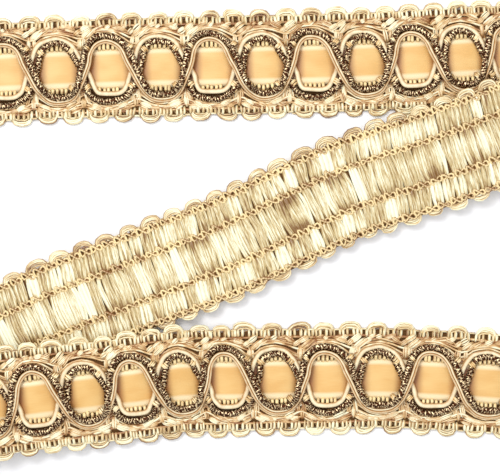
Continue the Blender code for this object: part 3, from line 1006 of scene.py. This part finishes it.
# Painted light and shade: one ply is toned pale as if lit and the other deep as if shaded.
PLY_LIGHT_AND_SHADE = {-1: 0.85, 1: 0.15}
METALLIC_OVER_FIGURE = (
    (-1.0, -6.9), (-0.79, -6.6), (-0.65, -5.3), (-0.60, -3.9), (-0.55, -1.4), (-0.50, 1.1),
    (-0.46, 3.6), (-0.41, 5.6), (-0.33, 6.9), (-0.20, 7.9), (-0.04, 8.1), (0.12, 7.6),
    (0.27, 6.4), (0.39, 4.4), (0.48, 1.8), (0.57, -0.8), (0.65, -3.3), (0.735, -5.2), (0.85, -6.5),
)
DOUBLE_OVER_FIGURE = (
    (-1.0, -8.4), (-0.80, -8.0), (-0.68, -7.1), (-0.60, -5.8), (-0.52, -3.8), (-0.44, -1.3),
    (-0.38, 1.0), (-0.34, 3.3), (-0.28, 5.1), (-0.18, 6.3), (-0.04, 6.7), (0.12, 6.1),
    (0.25, 4.4), (0.35, 1.5), (0.45, -1.1), (0.58, -4.4), (0.71, -6.6), (0.84, -7.9),
)

gathered = Gather()
line = cord_line(METALLIC_OVER_FIGURE, METALLIC_STEP, OVER_METALLIC_RISE, METALLIC_WANDER)
add_metallic(gathered, line)
metallic_over = gathered.lay_out("metallic_gimp_over", metallic)
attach(metallic_over, "root")
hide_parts("metallic_cord_over")

gathered = Gather()
line = cord_line(DOUBLE_OVER_FIGURE, PLY_STEP, OVER_DOUBLE_RISE, PLY_WANDER)
heading = np.gradient(line, axis=1)
sideways = np.cross((0.0, 0.0, 1.0), heading / np.linalg.norm(heading, axis=2, keepdims=True))
for ply, tone in PLY_LIGHT_AND_SHADE.items():
    path = line + ply * PLY_APART / 2 * sideways
    add_threads(gathered, path, tone, PLY_THREAD, PLY_THREAD, PLY_SIDES)
double_over = gathered.lay_out("double_gimp_over", pale_gimp)
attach(double_over, "root")
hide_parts("double_cord_over")


# Ties: small wraps of cream floss at the four corners of each window, which bind the metallic
# cord down to the ribbon's edge.
TIE_PLACES = (
    # windows from the centre and mm across, for an even window and then an odd one
    ((-0.42, 5.0), (-0.30, 4.4)),
    ((0.42, 5.2), (0.30, 4.5)),
    ((-0.42, -4.7), (-0.28, -5.1)),
    ((0.43, -4.7), (0.29, -4.9)),
)
MEAN_PITCH = 12.5
TIE_HALF_LONG = 1.0
TIE_FOOT = 1.0
TIE_ARCH = 1.35
TIE_STATIONS = 5
TIE_THREAD = 0.52
TIE_THREADS_APART = 0.42

cream_floss = floss_finish("cream_floss", pale=dye(255, 240, 196), golden=dye(230, 188, 122),
                           deep=dye(150, 98, 46), streaks=4.0, side_shade=0.5)
gathered = Gather()
share = np.linspace(-1.0, 1.0, TIE_STATIONS)
for even_and_odd in TIE_PLACES:
    for remainder, (offset, across_mm) in enumerate(even_and_odd):
        centres = windows_at(1, margin=0.5)
        centres = centres[centres % REPEAT == remainder][:, None]
        lean = math.atan2(across_mm, offset * MEAN_PITCH)
        for wrap in (-1, 0, 1):
            shift = wrap * TIE_THREADS_APART
            wobble = chance.normal(0.0, 0.08, (len(centres), 2))
            reach = TIE_HALF_LONG * share * (1 - 0.15 * abs(wrap))
            along = on_line("length", centres + offset) + reach * math.cos(lean) - shift * math.sin(lean)
            across = across_mm + reach * math.sin(lean) + shift * math.cos(lean) + wobble[:, :1]
            height = TIE_FOOT + TIE_ARCH * np.cos(share * np.pi / 2) ** 0.7 - 0.1 * abs(wrap)
            tone = chance.uniform(0.0, 0.5, (len(centres), 1)) + 0.4 * share ** 2
            paths = thread_paths(along + wobble[:, 1:], across, height)
            add_threads(gathered, paths, tone, TIE_THREAD, TIE_THREAD, THREAD_SIDES)
ties = gathered.lay_out("cord_ties", cream_floss)
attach(ties, "root")


# Surroundings: a plain white surface, a soft light from the upper left, a wider and softer one from
# above, and a camera straight above.
CAMERA_HEIGHT = 0.5
PHOTO_WIDTH = 0.125
PHOTO_LEVEL = 2.0
SENSOR_WIDTH = 36.0
SURFACE_SIZE = 1.6
SKY_COLOUR = (0.95, 0.97, 1.0, 1.0)
SKY_STRENGTH = 0.72

for shown in bpy.context.selected_objects:
    shown.select_set(False)
bpy.ops.mesh.primitive_plane_add(size=SURFACE_SIZE, location=(0.0, 0.0, 0.0))
surface = bpy.context.active_object
surface.name = "white_surface"
white = new_finish("white_surface", {"Base Color": dye(250, 250, 252), "Roughness": 0.9})[0]
surface.data.materials.append(white)

world = bpy.data.worlds.new("studio")
world.use_nodes = True
sky = world.node_tree.nodes["Background"]
sky.inputs["Color"].default_value = SKY_COLOUR
sky.inputs["Strength"].default_value = SKY_STRENGTH
bpy.context.scene.world = world


def soft_light(name, place, size, power):
    """A square area light that faces the middle of the object."""
    lamp = bpy.data.lights.new(name, "AREA")
    lamp.size = size
    lamp.energy = power
    holder = bpy.data.objects.new(name, lamp)
    holder.location = place
    away = np.array(place)
    tilt = math.acos(away[2] / np.linalg.norm(away))
    holder.rotation_euler = (tilt, 0.0, math.atan2(away[1], away[0]) + math.pi / 2)
    bpy.context.scene.collection.objects.link(holder)


soft_light("key_light", (-0.24, 0.26, 0.66), 0.25, 2.4)
soft_light("top_light", (0.0, 0.05, 0.9), 0.7, 2.6)

lens = bpy.data.cameras.new("above")
lens.sensor_width = SENSOR_WIDTH
lens.lens = SENSOR_WIDTH * CAMERA_HEIGHT / PHOTO_WIDTH
lens.clip_start = 0.01
camera = bpy.data.objects.new("above", lens)
camera.location = (-CENTRE_X * MM, -CENTRE_Y * MM, CAMERA_HEIGHT + PHOTO_LEVEL * MM)
bpy.context.scene.collection.objects.link(camera)
bpy.context.scene.camera = camera
bpy.context.scene.view_settings.view_transform = "Standard"
